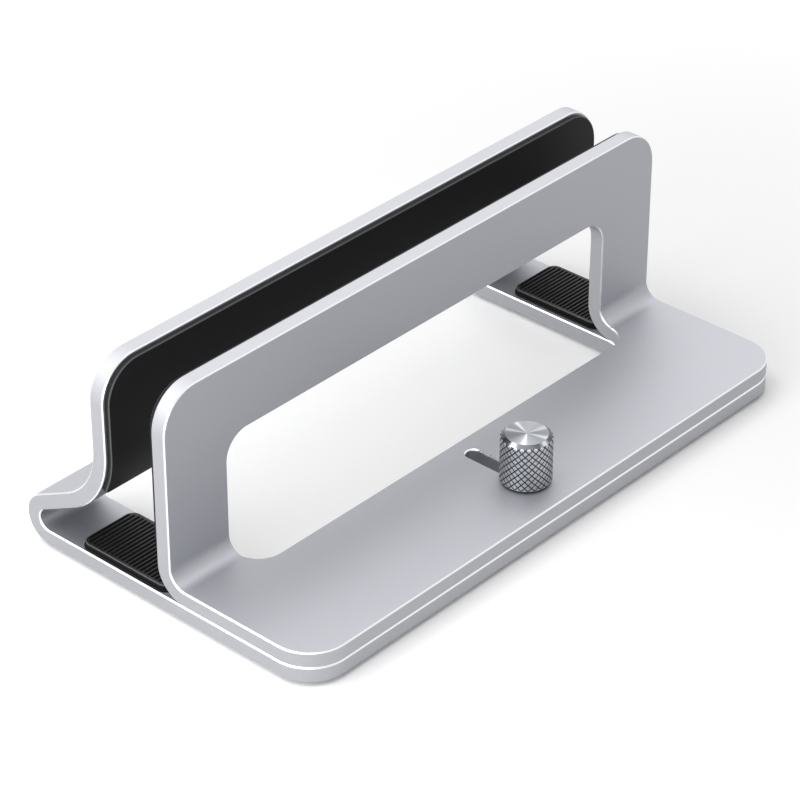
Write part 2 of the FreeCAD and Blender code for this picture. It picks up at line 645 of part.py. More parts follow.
def make_rear_pad():
    # Lies on the slot side of the rear wall and curls a little way round the bend below it.
    body = new_body("rear_pad")
    profile = new_sketch(body, "YZ_Plane", "rear_pad_profile")
    centre = flat(place["wall_bend_y"], place["wall_bend_z"])
    sweep = size["pad_bend_angle"]
    inward = flat(math.cos(math.radians(sweep)), math.sin(math.radians(sweep)))
    wall_face = place["rear_wall_front"]
    pad_face = place["rear_pad_face"]
    top = place["pad_top"]

    def line(first, second):
        return profile.addGeometry(Part.LineSegment(first, second), False)

    contact = line(flat(wall_face, centre.y), flat(wall_face, top))
    top_line = line(flat(wall_face, top), flat(pad_face, top))
    face = line(flat(pad_face, top), flat(pad_face, centre.y))
    face_bend = profile.addGeometry(arc(centre, place["rear_pad_bend"], 180, 180 + sweep), False)
    foot = line(centre - inward * place["rear_pad_bend"], centre - inward * place["wall_bend_outer"])
    contact_bend = profile.addGeometry(arc(centre, place["wall_bend_outer"], 180, 180 + sweep), False)
    join(profile, "Coincident", contact, 2, top_line, 1)
    join(profile, "Coincident", top_line, 2, face, 1)
    join(profile, "Tangent", face, 2, face_bend, 1)
    join(profile, "Coincident", face_bend, 2, foot, 1)
    join(profile, "Coincident", foot, 2, contact_bend, 2)
    join(profile, "Tangent", contact_bend, 1, contact, 1)
    join(profile, "Coincident", face_bend, 3, contact_bend, 3)
    profile.addConstraint(Sketcher.Constraint("Vertical", contact))
    profile.addConstraint(Sketcher.Constraint("Horizontal", top_line))
    profile.addConstraint(Sketcher.Constraint("PointOnObject", contact_bend, 3, foot))
    bind(profile, "face_bend", "Places.rear_pad_bend", "Radius", face_bend)
    bind(profile, "contact_bend", "Places.wall_bend_outer", "Radius", contact_bend)
    bind(profile, "centre_y", "Places.wall_bend_y", "DistanceX", -1, 1, contact_bend, 3)
    bind(profile, "centre_z", "Places.wall_bend_z", "DistanceY", -1, 1, contact_bend, 3)
    bind(profile, "pad_top", "Places.pad_top", "DistanceY", -1, 1, contact, 2)
    angle = profile.addConstraint(Sketcher.Constraint("Angle", foot, math.radians(sweep)))
    profile.renameConstraint(angle, "foot_angle")
    profile.setExpression("Constraints.foot_angle", "Sizes.pad_bend_angle * 1 deg")
    pad(body, profile, "Places.pad_width", both_ways=True)
    cut_pad_window(body, "rear_pad", "Places.base_top")
    round_pad(body, "rear_pad")
    through_pad = FreeCAD.Vector(0, inward.x, inward.y)
    round_pad_feet(body, "rear_pad", through_pad, centre.y)

    def is_on_face(point):
        if point.z > centre.y:
            return near(point.y, pad_face)
        return near(math.hypot(point.y - centre.x, point.z - centre.y), place["rear_pad_bend"])

    soften_rim(body, "rear_pad", is_on_face)


def make_front_pad():
    # Lies on the slot side of the front wall.
    body = new_body("front_pad")
    profile = new_sketch(body, "YZ_Plane", "front_pad_profile")
    rectangle(
        profile,
        "Places.front_wall_back",
        "Places.front_pad_face",
        "Places.front_pad_low",
        "Places.pad_top",
    )
    pad(body, profile, "Places.pad_width", both_ways=True)
    cut_pad_window(body, "front_pad", "Places.base_top")
    round_pad(body, "front_pad")
    round_pad_feet(body, "front_pad", y_axis, place["front_pad_low"] + size["pad_end_radius"])
    soften_rim(body, "front_pad", lambda point: near(point.y, place["front_pad_face"]))


def put(body, x=None, y=None, z=None):
    for axis, cell in (("x", x), ("y", y), ("z", z)):
        if cell:
            body.setExpression("Placement.Base." + axis, cell)
    document.recompute()


def make_rest_pad(name, x):
    # Rubber pad with a stepped side and ribs across the way that the laptop slides in.
    body = new_body(name)
    foot = new_sketch(body, "XY_Plane", name + "_foot")
    rounded_rectangle(
        foot, "Places.rest_half_width", "Places.rest_half_length", "Sizes.rest_corner_radius"
    )
    pad(body, foot, "Sizes.rest_foot_height")
    top = new_sketch(body, "XY_Plane", name + "_top")
    rounded_rectangle(
        top, "Places.rest_top_half_width", "Places.rest_top_half_length", "Places.rest_top_corner"
    )
    pad(body, top, "Sizes.rest_height")
    rim = [
        f"Edge{index}"
        for index, edge in enumerate(body.Shape.Edges, start=1)
        if near(edge.CenterOfMass.z, size["rest_height"])
    ]
    dress(body, "Chamfer", name + "_rim", rim, "Size", "Sizes.rest_top_chamfer")
    gap = new_sketch(body, "XY_Plane", name + "_gap", "Sizes.rest_height")
    rectangle(
        gap,
        "-Places.rib_half_run",
        "Places.rib_half_run",
        "Places.first_gap_low",
        "Places.first_gap_high",
    )
    cut = pocket(body, gap, "Sizes.rib_depth")
    before = body.Shape.Volume
    ribs = body.newObject("PartDesign::LinearPattern", name + "_ribs")
    ribs.Originals = [cut]
    ribs.Direction = (gap, ["V_Axis"])
    ribs.Mode = "Spacing"
    ribs.setExpression("Offset", "Sizes.rib_pitch")
    ribs.setExpression("Occurrences", "Places.rib_count")
    body.Tip = ribs
    document.recompute()
    if not body.Shape.Volume < before - tolerance:
        raise RuntimeError(name + " has a single gap between its ribs")
    put(body, x, "Places.rest_y", "Places.base_top")


def make_turned(name, corners, x=None, y=None, z=None):
    # A piece turned about its own upright axis, from half of its section.
    body = new_body(name)
    section = new_sketch(body, "XZ_Plane", name + "_section")
    polygon(section, corners)
    revolve(body, section)
    put(body, x, y, z)


def make_knob():
    corners = [
        ("Places.stud_radius", 0),
        ("Places.knob_foot_radius", 0),
        ("Places.knob_radius", "Sizes.knob_foot_chamfer"),
        ("Places.knob_radius", "Places.knob_shoulder"),
        ("Places.knob_top_radius", "Sizes.knob_height"),
        (0, "Sizes.knob_height"),
        (0, "Sizes.stud_depth"),
        ("Places.stud_radius", "Sizes.stud_depth"),
    ]
    make_turned("knob", corners, y="Places.knob_y", z="Places.knob_bottom")


def make_clamp_stud():
    corners = [
        (0, 0),
        ("Places.stud_tip_radius", 0),
        ("Places.stud_radius", "Sizes.stud_end_chamfer"),
        ("Places.stud_radius", "Places.stud_upper_chamfer"),
        ("Places.stud_tip_radius", "Places.stud_length"),
        (0, "Places.stud_length"),
    ]
    make_turned("clamp_stud", corners, y="Places.knob_y", z="Places.stud_bottom")


def make_knob_washer():
    corners = [
        ("Places.slot_radius", 0),
        ("Places.washer_radius", 0),
        ("Places.washer_radius", "Sizes.washer_thickness"),
        ("Places.slot_radius", "Sizes.washer_thickness"),
    ]
    make_turned("knob_washer", corners, y="Places.knob_y", z="Places.flange_top")


def make_clamp_nut():
    corners = [
        ("Places.nut_bore_radius", 0),
        ("Places.nut_head_radius", 0),
        ("Places.nut_head_radius", "Sizes.nut_head_height"),
        ("Places.nut_radius", "Sizes.nut_head_height"),
        ("Places.nut_radius", "Sizes.sheet_thickness"),
        ("Places.nut_bore_radius", "Sizes.sheet_thickness"),
    ]
    make_turned("clamp_nut", corners, y="Places.knob_y", z="Places.base_bottom")


def make_guide_pin(name, x):
    corners = [
        (0, 0),
        ("Places.pin_tip_radius", 0),
        ("Places.pin_radius", "Sizes.pin_tip_chamfer"),
        ("Places.pin_radius", "Places.pin_length"),
        (0, "Places.pin_length"),
    ]
    make_turned(name, corners, x, "Places.pin_y", "Places.pin_bottom")


def make_foot(name, x, y):
    body = new_body(name)
    disc = new_sketch(body, "XY_Plane", name + "_disc")
    index = disc.addGeometry(Part.Circle(flat(0, 0), z_axis, place["foot_radius"]), False)
    join(disc, "Coincident", index, 3, -1, 1)
    bind(disc, "radius", "Places.foot_radius", "Radius", index)
    pad(body, disc, "Sizes.foot_thickness")
    rim = [
        f"Edge{number}"
        for number, edge in enumerate(body.Shape.Edges, start=1)
        if near(edge.CenterOfMass.z, 0) and edge.Curve.TypeId == "Part::GeomCircle"
    ]
    dress(body, "Chamfer", name + "_rim", rim, "Size", "Sizes.foot_chamfer")
    put(body, x, y)


make_rear_bracket()
make_front_bracket()
make_rear_pad()
make_front_pad()
make_rest_pad("rest_pad_left", "-Places.rest_x")
make_rest_pad("rest_pad_right", "Places.rest_x")
make_knob()
make_clamp_stud()
make_knob_washer()
make_clamp_nut()
make_guide_pin("guide_pin_left", "-Places.pin_x")
make_guide_pin("guide_pin_right", "Places.pin_x")
make_foot("foot_front_left", "-Places.foot_x", "Places.foot_front_y")
make_foot("foot_front_right", "Places.foot_x", "Places.foot_front_y")
make_foot("foot_rear_left", "-Places.foot_x", "Places.foot_rear_y")
make_foot("foot_rear_right", "Places.foot_x", "Places.foot_rear_y")
document.recompute()

for item in document.Objects:
    if "Invalid" in item.State or "Error" in item.State:
        raise RuntimeError(item.Name + " did not recompute")
    if item.TypeId == "Sketcher::SketchObject" and item.solve() != 0:
        raise RuntimeError(item.Name + " has a constraint that cannot be met")

bodies = [item for item in document.Objects if item.TypeId == "PartDesign::Body"]
for body in bodies:
    if body.Shape.isNull() or not body.Shape.isValid() or body.Shape.Volume <= 0:
        raise RuntimeError(body.Label + " has no sound shape")

os.makedirs("parts", exist_ok=True)
for body in bodies:
    body.Shape.exportStep(f"parts/{body.Label}.step")
    box = body.Shape.BoundBox
    print(
        f"{body.Label}: {len(body.Shape.Solids)} solid, volume {body.Shape.Volume:.1f},",
        f"X {box.XMin:.2f} to {box.XMax:.2f},",
        f"Y {box.YMin:.2f} to {box.YMax:.2f},",
        f"Z {box.ZMin:.2f} to {box.ZMax:.2f}",
    )
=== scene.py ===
import math

import bmesh
import bpy
import numpy as np
from mathutils import Matrix, Vector


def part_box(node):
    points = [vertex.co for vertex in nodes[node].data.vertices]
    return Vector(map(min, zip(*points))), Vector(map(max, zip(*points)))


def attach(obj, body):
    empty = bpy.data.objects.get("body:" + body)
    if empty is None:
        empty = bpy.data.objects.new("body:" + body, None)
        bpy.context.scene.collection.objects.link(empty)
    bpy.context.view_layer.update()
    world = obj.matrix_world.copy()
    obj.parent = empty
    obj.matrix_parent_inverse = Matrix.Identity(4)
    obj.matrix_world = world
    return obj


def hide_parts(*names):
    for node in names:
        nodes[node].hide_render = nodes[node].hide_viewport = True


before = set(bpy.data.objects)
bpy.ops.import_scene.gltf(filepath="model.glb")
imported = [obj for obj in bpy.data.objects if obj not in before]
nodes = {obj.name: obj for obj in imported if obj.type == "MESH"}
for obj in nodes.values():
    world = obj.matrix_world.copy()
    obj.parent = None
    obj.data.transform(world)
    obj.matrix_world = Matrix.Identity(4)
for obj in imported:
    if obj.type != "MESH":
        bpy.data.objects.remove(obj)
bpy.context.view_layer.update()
mm = 0.001
# A Mix node's colour sockets go by number, because its plain number sockets have the same names
colourA, colourB, colourOut = 6, 7, 2
print("frame loaded:", len(nodes), "nodes")


def hexToLinear(code):
    # sRGB hex to the linear colour that a shader's socket takes
    srgb = np.array([int(code[i:i + 2], 16) for i in (1, 3, 5)]) / 255
    linear = np.where(srgb <= 0.04045, srgb / 12.92, ((srgb + 0.055) / 1.055) ** 2.4)
    return (*linear.tolist(), 1.0)


def setInputs(tree, node, inputs):
    # inputs are plain values or other nodes' outputs
    for key, value in inputs.items():
        if isinstance(value, bpy.types.NodeSocket):
            tree.links.new(value, node.inputs[key])
        else:
            node.inputs[key].default_value = value


def addNode(tree, kind, settings=None, inputs=None):
    # settings are the node's own properties
    node = tree.nodes.new("ShaderNode" + kind)
    for name, value in (settings or {}).items():
        setattr(node, name, value)
    setInputs(tree, node, inputs or {})
    return node


def newMaterial(name):
    # an empty tree with a Principled shader wired to the output
    material = bpy.data.materials.new(name)
    material.use_nodes = True
    tree = material.node_tree
    tree.nodes.clear()
    shader = addNode(tree, "BsdfPrincipled")
    addNode(tree, "OutputMaterial", inputs={"Surface": shader.outputs["BSDF"]})
    return material, tree, shader


def setMaterials(thing, *materials):
    # Slots are filled and never cleared, because clearing them resets the faces' choice of slot.
    slots = thing.data.materials
    for place, material in enumerate(materials):
        if place < len(slots):
            slots[place] = material
        else:
            slots.append(material)


def gridFaces(rows, columns, first=0):
    # quads of a grid whose points are numbered row by row
    row = np.arange(rows - 1)[:, None]
    column = np.arange(columns - 1)[None, :]
    start = first + row * columns + column
    return np.stack([start, start + 1, start + columns + 1, start + columns], -1).reshape(-1, 4)


def meshObject(name, vertices, faces, smoothAngle=30, faceMaterials=None, uv=None):
    # Points in metres and lists of corners. Points that grids share are merged, so the skin is
    # closed, and faces that shrink to a line at a pole go.
    mesh = bpy.data.meshes.new(name)
    mesh.from_pydata(vertices.reshape(-1, 3).tolist(), [], faces)
    thing = bpy.data.objects.new(name, mesh)
    bpy.context.scene.collection.objects.link(thing)
    if faceMaterials is not None:
        mesh.polygons.foreach_set("material_index", faceMaterials)
    if uv is not None:
        corners = np.zeros(len(mesh.loops), np.int32)
        mesh.loops.foreach_get("vertex_index", corners)
        layer = mesh.uv_layers.new(name="around")
        layer.uv.foreach_set("vector", uv.reshape(-1, 2)[corners].ravel())
    samePoint = 0.0005 * mm
    work = bmesh.new()
    work.from_mesh(mesh)
    bmesh.ops.remove_doubles(work, verts=work.verts, dist=samePoint)
    bmesh.ops.dissolve_degenerate(work, edges=work.edges, dist=samePoint)
    work.to_mesh(mesh)
    work.free()
    mesh.polygons.foreach_set("use_smooth", [True] * len(mesh.polygons))
    mesh.set_sharp_from_angle(angle=math.radians(smoothAngle))
    return thing


# Folded aluminium sheet
sheetFinish = {
    "blasted": "#ADAEB3",  # matt silver, bead blasted and clear anodised
    "blastedRoughness": 0.55,
    "milled": "#AFB0B4",  # the sheet's own cut edge, finely milled
    "milledRoughness": 0.5,
    "diamondCut": "#F0F1F3",  # chamfers cut after blasting, so they stay bright
    "diamondCutRoughness": 0.24,
    "blastGrain": 0.24,  # mm, real grit marks are near 0.1 and are drawn coarser so that they show
    "blastDepth": 0.01,
    "millPitch": 0.35,  # mm between the lines that the cutter leaves
    "millDepth": 0.012,
}


def faceMasks(tree, place, flatEnd, flatTop, wallStart):
    # Tells a sheet's faces, chamfers and cut edges apart. The share of the normal that points
    # out of the sheet, squared, is near 1 on a face, half on a 45 degree chamfer and 0 on a cut
    # edge. The sheet faces along Z where it lies flat and along Y where it stands as a wall,
    # and its bends never face along X. The three places are in metres.
    chamferShare, spread = 0.5, 0.2
    position = addNode(tree, "SeparateXYZ", inputs={"Vector": place.outputs["Object"]})
    normal = addNode(tree, "SeparateXYZ", inputs={"Vector": place.outputs["Normal"]})
    y, z = position.outputs["Y"], position.outputs["Z"]
    squares = {}
    for axis in "XYZ":
        part = normal.outputs[axis]
        squares[axis] = addNode(tree, "Math", {"operation": "MULTIPLY"}, {0: part, 1: part}).outputs[0]
    inFront = addNode(tree, "Math", {"operation": "LESS_THAN"}, {0: y, 1: flatEnd})
    isLow = addNode(tree, "Math", {"operation": "LESS_THAN"}, {0: z, 1: flatTop})
    isFlat = addNode(tree, "Math", {"operation": "MULTIPLY"}, {0: inFront.outputs[0], 1: isLow.outputs[0]})
    isWall = addNode(tree, "Math", {"operation": "GREATER_THAN"}, {0: z, 1: wallStart})
    bent = addNode(tree, "Math", {"operation": "SUBTRACT"}, {0: 1.0, 1: squares["X"]})
    flatOrBent = addNode(tree, "Mix", {"data_type": "FLOAT"}, {
        "Factor": isFlat.outputs[0], "A": bent.outputs[0], "B": squares["Z"]})
    facing = addNode(tree, "Mix", {"data_type": "FLOAT"}, {
        "Factor": isWall.outputs[0], "A": flatOrBent.outputs[0], "B": squares["Y"]})
    isChamfer = addNode(tree, "Math", {"operation": "COMPARE"}, {
        0: facing.outputs[0], 1: chamferShare, 2: spread})
    isFace = addNode(tree, "Math", {"operation": "GREATER_THAN"}, {0: facing.outputs[0], 1: chamferShare})
    return position, isFlat, isWall, isChamfer, isFace


def sheetMaterial(name, zones):
    # Anodised aluminium sheet. The broad faces are bead blasted, which spreads highlights
    # softly; the cut edges are milled; the chamfers are diamond cut and catch bright lines.
    s = sheetFinish
    material, tree, shader = newMaterial(name)
    place = addNode(tree, "TexCoord")
    position, isFlat, isWall, isChamfer, isFace = faceMasks(tree, place, **zones)
    colour = addNode(tree, "Mix", {"data_type": "RGBA"}, {
        "Factor": isFace.outputs[0],
        colourA: hexToLinear(s["milled"]), colourB: hexToLinear(s["blasted"])})
    colour = addNode(tree, "Mix", {"data_type": "RGBA"}, {
        "Factor": isChamfer.outputs[0],
        colourA: colour.outputs[colourOut], colourB: hexToLinear(s["diamondCut"])})
    grain = addNode(tree, "TexNoise", inputs={
        "Vector": place.outputs["Object"], "Scale": 1 / (s["blastGrain"] * mm), "Detail": 1.0})

    # The cutter's lines run straight across the sheet's thickness: along Z where it lies flat
    # and along Y where it stands, so that direction drops out of the noise's place there.
    notWall = addNode(tree, "Math", {"operation": "SUBTRACT"}, {0: 1.0, 1: isWall.outputs[0]})
    notFlat = addNode(tree, "Math", {"operation": "SUBTRACT"}, {0: 1.0, 1: isFlat.outputs[0]})
    alongY = addNode(tree, "Math", {"operation": "MULTIPLY"}, {
        0: position.outputs["Y"], 1: notWall.outputs[0]})
    alongZ = addNode(tree, "Math", {"operation": "MULTIPLY"}, {
        0: position.outputs["Z"], 1: notFlat.outputs[0]})
    edgePlace = addNode(tree, "CombineXYZ", inputs={
        "X": position.outputs["X"], "Y": alongY.outputs[0], "Z": alongZ.outputs[0]})
    lines = addNode(tree, "TexNoise", inputs={
        "Vector": edgePlace.outputs["Vector"], "Scale": 1 / (s["millPitch"] * mm), "Detail": 1.0})
    relief = addNode(tree, "Mix", {"data_type": "FLOAT"}, {
        "Factor": isFace.outputs[0], "A": lines.outputs["Fac"], "B": grain.outputs["Fac"]})
    reliefDepth = addNode(tree, "Mix", {"data_type": "FLOAT"}, {
        "Factor": isFace.outputs[0], "A": s["millDepth"] * mm, "B": s["blastDepth"] * mm})
    roughness = addNode(tree, "Mix", {"data_type": "FLOAT"}, {
        "Factor": isFace.outputs[0], "A": s["milledRoughness"], "B": s["blastedRoughness"]})
    roughness = addNode(tree, "Mix", {"data_type": "FLOAT"}, {
        "Factor": isChamfer.outputs[0], "A": roughness.outputs[0], "B": s["diamondCutRoughness"]})
    isMatt = addNode(tree, "Math", {"operation": "SUBTRACT"}, {0: 1.0, 1: isChamfer.outputs[0]})
    bump = addNode(tree, "Bump", inputs={
        "Height": relief.outputs[0], "Distance": reliefDepth.outputs[0], "Strength": isMatt.outputs[0]})
    setInputs(tree, shader, {
        "Base Color": colour.outputs[colourOut], "Metallic": 1.0,
        "Roughness": roughness.outputs[0], "Normal": bump.outputs["Normal"]})
    return material


# Pads on the walls
padFinish = {
    "face": "#141416",
    # darker than the face: painted shade on the pad's sides
    "side": "#070708",
    # grey: a painted highlight along the pad's rim
    "rim": "#56565A",
    "roughness": 0.6,
    "rimRoughness": 0.38,
    "shine": 0.3,
    "grain": 0.18,  # mm
    "grainDepth": 0.005,
}


def padMaterial(name, zones):
    # Matt silicone pad. Its face and sides drink up light, and the sides get a darker colour, which is
    # painted shade. The pressed 45 degree rim is smoother, and its grey colour is a painted highlight that
    # draws a thin grey line round the pad.
    s = padFinish
    material, tree, shader = newMaterial(name)
    place = addNode(tree, "TexCoord")
    *_, isChamfer, isFace = faceMasks(tree, place, **zones)
    colour = addNode(tree, "Mix", {"data_type": "RGBA"}, {
        "Factor": isFace.outputs[0], colourA: hexToLinear(s["side"]), colourB: hexToLinear(s["face"])})
    colour = addNode(tree, "Mix", {"data_type": "RGBA"}, {
        "Factor": isChamfer.outputs[0],
        colourA: colour.outputs[colourOut], colourB: hexToLinear(s["rim"])})
    roughness = addNode(tree, "Mix", {"data_type": "FLOAT"}, {
        "Factor": isChamfer.outputs[0], "A": s["roughness"], "B": s["rimRoughness"]})
    grain = addNode(tree, "TexNoise", inputs={
        "Vector": place.outputs["Object"], "Scale": 1 / (s["grain"] * mm), "Detail": 2.0})
    bump = addNode(tree, "Bump", inputs={
        "Height": grain.outputs["Fac"], "Distance": s["grainDepth"] * mm})
    setInputs(tree, shader, {
        "Base Color": colour.outputs[colourOut], "Roughness": roughness.outputs[0], "IOR": 1.45,
        "Specular IOR Level": s["shine"], "Normal": bump.outputs["Normal"]})
    return material


# Rubber and nylon
bloom = {
    "size": 14.0,  # mm, soft clouds where the rubber is a little duller or shinier
    "roughnessShift": 0.05,
}


def rubberMaterial(name, colour, roughness, grain, depth, shine=0.5):
    # Moulded rubber. The mould's fine etched grain breaks up highlights, so it looks dull
    # black with a faint grey bloom where light grazes it. grain and depth are in mm.
    material, tree, shader = newMaterial(name)
    place = addNode(tree, "TexCoord")
    etched = addNode(tree, "TexNoise", inputs={
        "Vector": place.outputs["Object"], "Scale": 1 / (grain * mm), "Detail": 2.0})
    cloud = addNode(tree, "TexNoise", inputs={
        "Vector": place.outputs["Object"], "Scale": 1 / (bloom["size"] * mm), "Detail": 3.0})
    cloudy = addNode(tree, "MapRange", inputs={
        "Value": cloud.outputs["Fac"],
        "To Min": roughness - bloom["roughnessShift"], "To Max": roughness + bloom["roughnessShift"]})
    bump = addNode(tree, "Bump", inputs={"Height": etched.outputs["Fac"], "Distance": depth * mm})
    setInputs(tree, shader, {
        "Base Color": hexToLinear(colour), "Roughness": cloudy.outputs["Result"], "IOR": 1.5,
        "Specular IOR Level": shine, "Normal": bump.outputs["Normal"]})
    return material


ribbedRubber = rubberMaterial("ribbedMouldedRubber", "#121213", 0.5, 0.2, 0.01)
# the rest pads' sides: darker than the top, which is painted shade
paintedShadeSideRubber = rubberMaterial("mattRubberPaintedShadeSide", "#0B0B0C", 0.6, 0.2, 0.01, shine=0.15)
# the rest pads' rim: grey, a painted highlight along the rounded edge
paintedHighlightRimRubber = rubberMaterial("smoothRubberPaintedHighlightRim", "#4A4A4D", 0.4, 0.3, 0.004)
footRubber = rubberMaterial("feetMouldedRubber", "#1B1B1D", 0.7, 0.25, 0.012)
washerNylon = rubberMaterial("mouldedBlackNylon", "#0C0C0D", 0.45, 0.3, 0.004)

# Zinc-plated steel
zincFinish = {
    "colour": "#B9BCC0",
    "roughness": (0.22, 0.42),
    "cloudSize": 1.5,  # mm
}


def zincMaterial(name):
    # Zinc-plated steel. The plating dulls the shine a little and clouds it in soft patches.
    s = zincFinish
    material, tree, shader = newMaterial(name)
    place = addNode(tree, "TexCoord")
    cloud = addNode(tree, "TexNoise", inputs={
        "Vector": place.outputs["Object"], "Scale": 1 / (s["cloudSize"] * mm), "Detail": 3.0})
    roughness = addNode(tree, "MapRange", inputs={
        "Value": cloud.outputs["Fac"], "To Min": s["roughness"][0], "To Max": s["roughness"][1]})
    setInputs(tree, shader, {
        "Base Color": hexToLinear(s["colour"]), "Metallic": 1.0,
        "Roughness": roughness.outputs["Result"]})
    return material


zincSteel = zincMaterial("zincPlatedSteel")

# Turned and knurled clamp knob
knobShape = {
    "footChamfer": 0.4,  # mm, as in the turned blank
    "topChamferHeight": 1.1,
    "topChamferWidth": 1.3,
    "plainBand": 0.75,  # left smooth under the top edge
    "edgeBreak": 0.1,
    "topRings": 12,  # rings of points from the top's edge to its middle
    "starts": 24,  # diamonds in one row round the knob
    "rowHeight": 2.03,  # mm from one row of diamonds to the next in line above it
    "grooveDepth": 0.15,
    "grooveWidth": 0.24,  # share of the distance between grooves
    "crown": 0.02,  # each diamond stands this much higher in its middle
    "stepsPerDiamond": 16,
    "socketRadius": 2.0,  # the hole that holds the stud
    "socketDepth": 10.0,
    "smoothAngle": 18,  # degrees
}
knobFinish = {
    "aluminium": "#B0B2B6",
    "sideRoughness": 0.4,
    "groove": "#424347",  # painted shade: the grooves' colour is darkened for the shade that falls in them
    "grooveRoughness": 0.6,
    "bevel": ("#606267", "#E2E3E6"),  # painted shade between the rays, and painted highlight in them
    "bevelRoughness": 0.24,
    "bevelPaintedHighlights": [(186, 6), (-92, 8)],  # direction from +X and half width, in degrees
    # painted: the lighter colour is the highlight rays, the other the colour between them
    "spun": ("#A3A5AA", "#E4E5E8"),
    "spunRoughness": 0.34,
    "spunAnisotropy": 0.8,
    "spunPaintedHighlights": [(70, 6), (113, 6), (-19, 9), (-72, 7), (211, 8)],
}


def turnedMaterial(name, colour, roughness):
    # Turned aluminium, smooth enough to mirror the room softly.
    material, tree, shader = newMaterial(name)
    setInputs(tree, shader, {"Base Color": hexToLinear(colour), "Metallic": 1.0, "Roughness": roughness})
    return material


def spunMaterial(name, colours, rays, axis, roughness, anisotropy=0.0):
    # Aluminium spun on a lathe. The tool leaves rings round the axis, which throw light back in
    # rays from the middle. In an even white room they would fade, so they are painted highlights, a
    # lighter
    # tint along fixed directions: each ray adds max(0, cos(angle from the ray)) ^ n, and n brings it to
    # half at its half width.
    material, tree, shader = newMaterial(name)
    place = addNode(tree, "TexCoord")
    outwards = addNode(tree, "VectorMath", {"operation": "SUBTRACT"}, {
        0: place.outputs["Object"], 1: axis})
    level = addNode(tree, "VectorMath", {"operation": "MULTIPLY"}, {
        0: outwards.outputs[0], 1: (1, 1, 0)})
    direction = addNode(tree, "VectorMath", {"operation": "NORMALIZE"}, {0: level.outputs[0]})
    light = 0.0
    for turn, halfWidth in rays:
        turn, halfWidth = math.radians(turn), math.radians(halfWidth)
        near = addNode(tree, "VectorMath", {"operation": "DOT_PRODUCT"}, {
            0: direction.outputs[0], 1: (math.cos(turn), math.sin(turn), 0)})
        ahead = addNode(tree, "Math", {"operation": "MAXIMUM"}, {0: near.outputs["Value"], 1: 0.0})
        ray = addNode(tree, "Math", {"operation": "POWER"}, {
            0: ahead.outputs[0], 1: math.log(0.5) / math.log(math.cos(halfWidth))})
        light = addNode(tree, "Math", {"operation": "ADD"}, {0: ray.outputs[0], 1: light}).outputs[0]
    paintedHighlightTint = addNode(tree, "Mix", {"data_type": "RGBA"}, {
        "Factor": light, colourA: hexToLinear(colours[0]), colourB: hexToLinear(colours[1])})
    # The tangent runs round the axis, and a quarter turn from it the shine spreads across the rings.
    around = addNode(tree, "Tangent", {"direction_type": "UV_MAP", "uv_map": "around"})
    setInputs(tree, shader, {
        "Base Color": paintedHighlightTint.outputs[colourOut], "Metallic": 1.0, "Roughness": roughness,
        "Anisotropic": anisotropy, "Anisotropic Rotation": 0.25, "Tangent": around.outputs["Tangent"]})
    return material


def knobProfile(radius, height, topRadius):
    # Radius and height of each ring of points, from the socket, out under the foot, up the side
    # and over the bevel to the top's middle. The knurled side is the rings from the first number
    # up to the second.
    s = knobShape
    rowStep = s["rowHeight"] / s["stepsPerDiamond"]
    rows = math.floor((height - s["footChamfer"]) / rowStep)
    side = s["footChamfer"] + np.arange(rows) * rowStep
    side = side[side < height - s["plainBand"]]
    foot = [(0, s["socketDepth"]), (s["socketRadius"], s["socketDepth"]), (s["socketRadius"], 0),
            (radius - s["footChamfer"], 0)]
    edge = s["edgeBreak"]
    top = [(topRadius + edge, height - edge)]
    top += [(r, height) for r in np.linspace(topRadius, 0, s["topRings"])]
    profile = np.array(foot + [(radius, z) for z in side] + top, float)
    return profile, len(foot), len(foot) + len(side)


def knurlDepth(a, b):
    # Two families of V grooves at 45 degrees, one rising each way round. With a the place round
    # the knob and b the place up it, both counted in diamonds, the grooves run where a + b and
    # a - b are whole numbers. Between them the skin falls from the middle of a diamond by
    # crown * t^2, where t grows from 0 there to 1 at the nearest groove. Gives the depth of the
    # grooves alone, and that of the whole skin.
    s = knobShape
    turned = np.stack([a[None, :] + b[:, None], a[None, :] - b[:, None]])
    away = np.abs(turned - np.round(turned)).min(0)
    cut = s["grooveDepth"] * np.clip(1 - 2 * away / s["grooveWidth"], 0, 1)
    return cut, cut + s["crown"] * (1 - 2 * away) ** 2


